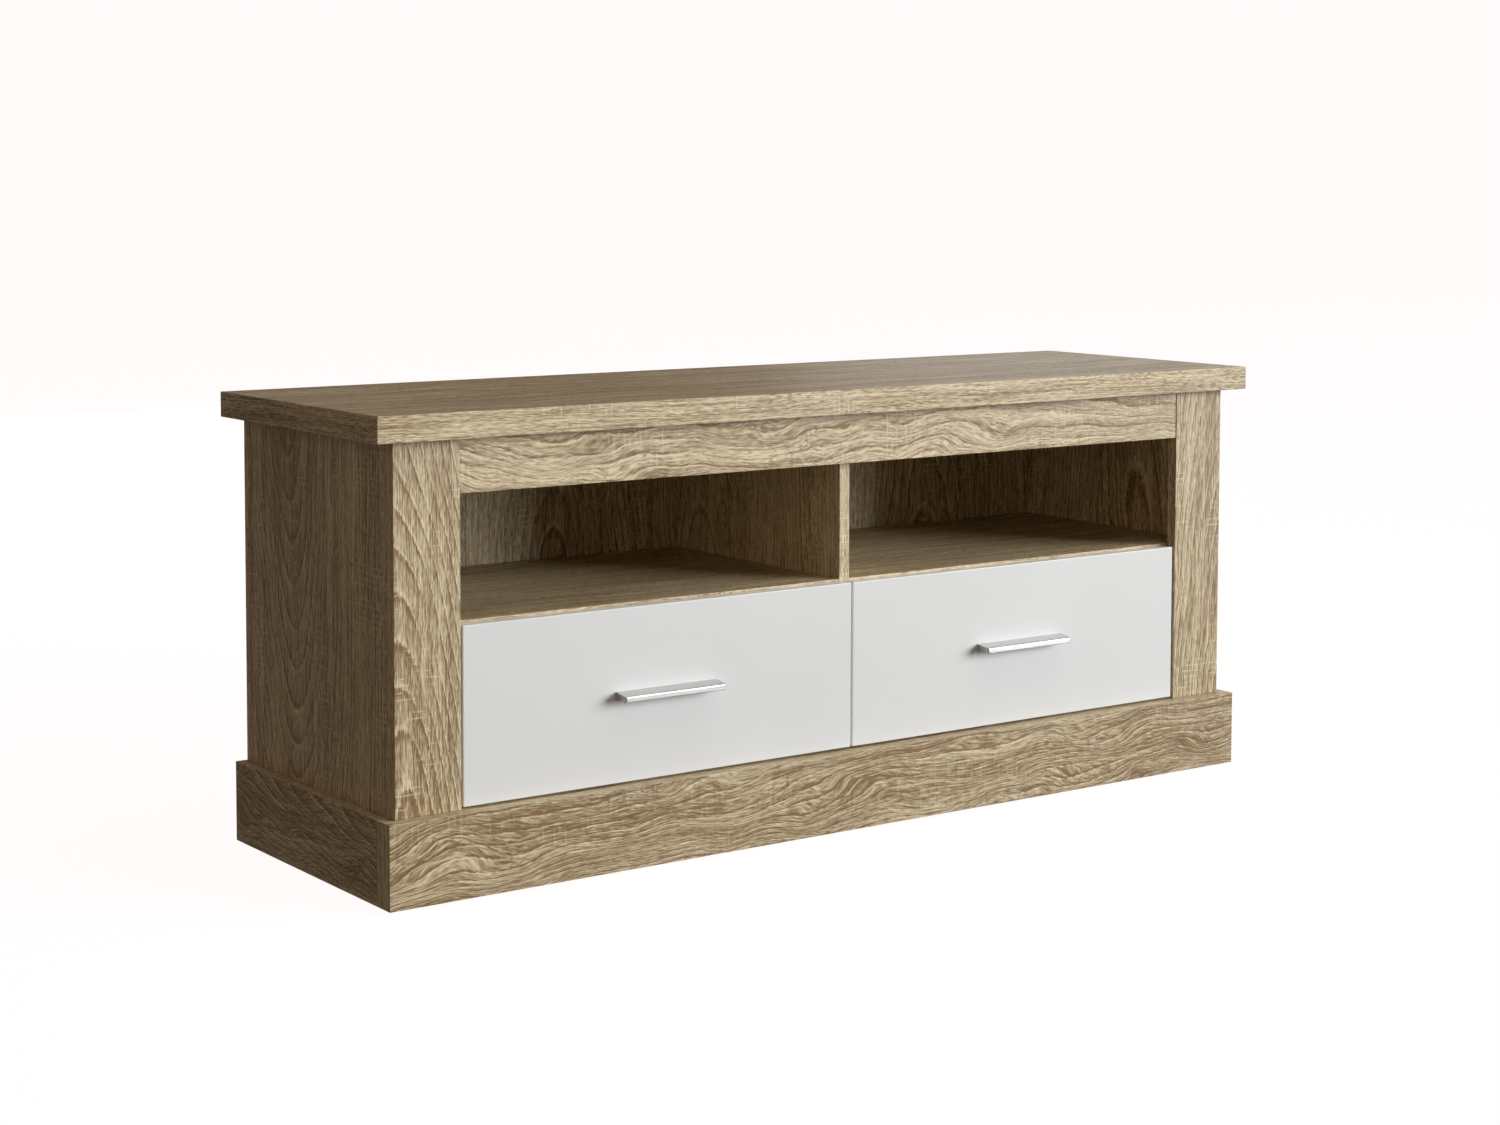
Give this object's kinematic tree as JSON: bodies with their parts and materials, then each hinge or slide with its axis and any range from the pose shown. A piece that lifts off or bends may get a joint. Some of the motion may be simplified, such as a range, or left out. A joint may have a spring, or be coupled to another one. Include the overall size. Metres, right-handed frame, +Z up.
{
  "type": "media stand with drawers",
  "caption": "Low media stand with a thick overhanging top, open bays over side-by-side drawers on roller runners, wide stiles and a stepped plinth.",
  "frame": {"origin": "bottom centre of the whole stand, on the floor plane under the glides", "axes": "+Z up, +X along the length to the right as seen from the front, front faces -Y"},
  "size_m": [1.4, 0.42, 0.578],
  "materials": {
    "oak_decor_board": "melamine-faced chipboard, light oak print with a fine matt grain",
    "white_laminate": "melamine-faced chipboard, satin white",
    "drawer_board": "thin paper-foiled board, off-white",
    "hardboard_back": "thin hardboard, painted oak side in, raw brown side out",
    "coated_steel": "rolled steel sheet, white epoxy powder coat",
    "nylon_roller": "moulded nylon, natural white",
    "satin_zinc": "die-cast zinc alloy, satin nickel plated",
    "plated_steel": "steel screw, bright zinc plated",
    "black_plastic": "moulded polypropylene glide, black"
  },
  "bodies": {
    "carcass": {"apron": "oak_decor_board", "bottom_panel": "oak_decor_board", "centre_front_glide": "black_plastic", "centre_partition": "oak_decor_board", "centre_rear_glide": "black_plastic", "centre_support": "oak_decor_board", "left_back_panel": "hardboard_back", "left_bay_left_runner": "coated_steel", "left_bay_right_runner": "coated_steel", "left_front_glide": "black_plastic", "left_plinth": "oak_decor_board", "left_rear_glide": "black_plastic", "left_runner_panel": "oak_decor_board", "left_shelf": "oak_decor_board", "left_side_panel": "oak_decor_board", "left_stile": "oak_decor_board", "plinth_front": "oak_decor_board", "rear_rail": "oak_decor_board", "right_back_panel": "hardboard_back", "right_bay_left_runner": "coated_steel", "right_bay_right_runner": "coated_steel", "right_front_glide": "black_plastic", "right_plinth": "oak_decor_board", "right_rear_glide": "black_plastic", "right_runner_panel": "oak_decor_board", "right_shelf": "oak_decor_board", "right_side_panel": "oak_decor_board", "right_stile": "oak_decor_board", "top_panel": "oak_decor_board"},
    "left_bay_left_roller": {"left_bay_left_roller": "nylon_roller"},
    "left_bay_right_roller": {"left_bay_right_roller": "nylon_roller"},
    "left_drawer": {"left_drawer_back": "drawer_board", "left_drawer_bottom": "drawer_board", "left_drawer_front": "white_laminate", "left_drawer_handle": "satin_zinc", "left_drawer_left_runner": "coated_steel", "left_drawer_left_screw": "plated_steel", "left_drawer_left_side": "drawer_board", "left_drawer_right_runner": "coated_steel", "left_drawer_right_screw": "plated_steel", "left_drawer_right_side": "drawer_board"},
    "left_drawer_left_roller": {"left_drawer_left_roller": "nylon_roller"},
    "left_drawer_right_roller": {"left_drawer_right_roller": "nylon_roller"},
    "right_bay_left_roller": {"right_bay_left_roller": "nylon_roller"},
    "right_bay_right_roller": {"right_bay_right_roller": "nylon_roller"},
    "right_drawer": {"right_drawer_back": "drawer_board", "right_drawer_bottom": "drawer_board", "right_drawer_front": "white_laminate", "right_drawer_handle": "satin_zinc", "right_drawer_left_runner": "coated_steel", "right_drawer_left_screw": "plated_steel", "right_drawer_left_side": "drawer_board", "right_drawer_right_runner": "coated_steel", "right_drawer_right_screw": "plated_steel", "right_drawer_right_side": "drawer_board"},
    "right_drawer_left_roller": {"right_drawer_left_roller": "nylon_roller"},
    "right_drawer_right_roller": {"right_drawer_right_roller": "nylon_roller"}
  },
  "joints": [
    {"name": "left_drawer_slide", "type": "slide", "parent": "carcass", "child": "left_drawer", "axis": [0, -1, 0], "range_m": [0, 0.26]},
    {"name": "left_drawer_left_roller_turn", "type": "hinge", "parent": "left_drawer", "child": "left_drawer_left_roller", "pos_m": [-0.57575, 0.166, 0.1375], "axis": [1, 0, 0], "range_deg": [0, 1661]},
    {"name": "left_bay_left_roller_turn", "type": "hinge", "parent": "carcass", "child": "left_bay_left_roller", "pos_m": [-0.57575, -0.156, 0.1411], "axis": [1, 0, 0], "range_deg": [0, 1661]},
    {"name": "left_drawer_right_roller_turn", "type": "hinge", "parent": "left_drawer", "child": "left_drawer_right_roller", "pos_m": [-0.01425, 0.166, 0.1375], "axis": [1, 0, 0], "range_deg": [0, 1661]},
    {"name": "left_bay_right_roller_turn", "type": "hinge", "parent": "carcass", "child": "left_bay_right_roller", "pos_m": [-0.01425, -0.156, 0.1411], "axis": [1, 0, 0], "range_deg": [0, 1661]},
    {"name": "right_drawer_slide", "type": "slide", "parent": "carcass", "child": "right_drawer", "axis": [0, -1, 0], "range_m": [0, 0.26]},
    {"name": "right_drawer_left_roller_turn", "type": "hinge", "parent": "right_drawer", "child": "right_drawer_left_roller", "pos_m": [0.01425, 0.166, 0.1375], "axis": [1, 0, 0], "range_deg": [0, 1661]},
    {"name": "right_bay_left_roller_turn", "type": "hinge", "parent": "carcass", "child": "right_bay_left_roller", "pos_m": [0.01425, -0.156, 0.1411], "axis": [1, 0, 0], "range_deg": [0, 1661]},
    {"name": "right_drawer_right_roller_turn", "type": "hinge", "parent": "right_drawer", "child": "right_drawer_right_roller", "pos_m": [0.57575, 0.166, 0.1375], "axis": [1, 0, 0], "range_deg": [0, 1661]},
    {"name": "right_bay_right_roller_turn", "type": "hinge", "parent": "carcass", "child": "right_bay_right_roller", "pos_m": [0.57575, -0.156, 0.1411], "axis": [1, 0, 0], "range_deg": [0, 1661]}
  ],
  "couplings": [
    {"joint": "left_drawer_left_roller_turn", "follows": "left_drawer_slide", "rad_per_m": 111.11},
    {"joint": "left_bay_left_roller_turn", "follows": "left_drawer_slide", "rad_per_m": 111.11},
    {"joint": "left_drawer_right_roller_turn", "follows": "left_drawer_slide", "rad_per_m": 111.11},
    {"joint": "left_bay_right_roller_turn", "follows": "left_drawer_slide", "rad_per_m": 111.11},
    {"joint": "right_drawer_left_roller_turn", "follows": "right_drawer_slide", "rad_per_m": 111.11},
    {"joint": "right_bay_left_roller_turn", "follows": "right_drawer_slide", "rad_per_m": 111.11},
    {"joint": "right_drawer_right_roller_turn", "follows": "right_drawer_slide", "rad_per_m": 111.11},
    {"joint": "right_bay_right_roller_turn", "follows": "right_drawer_slide", "rad_per_m": 111.11}
  ]
}
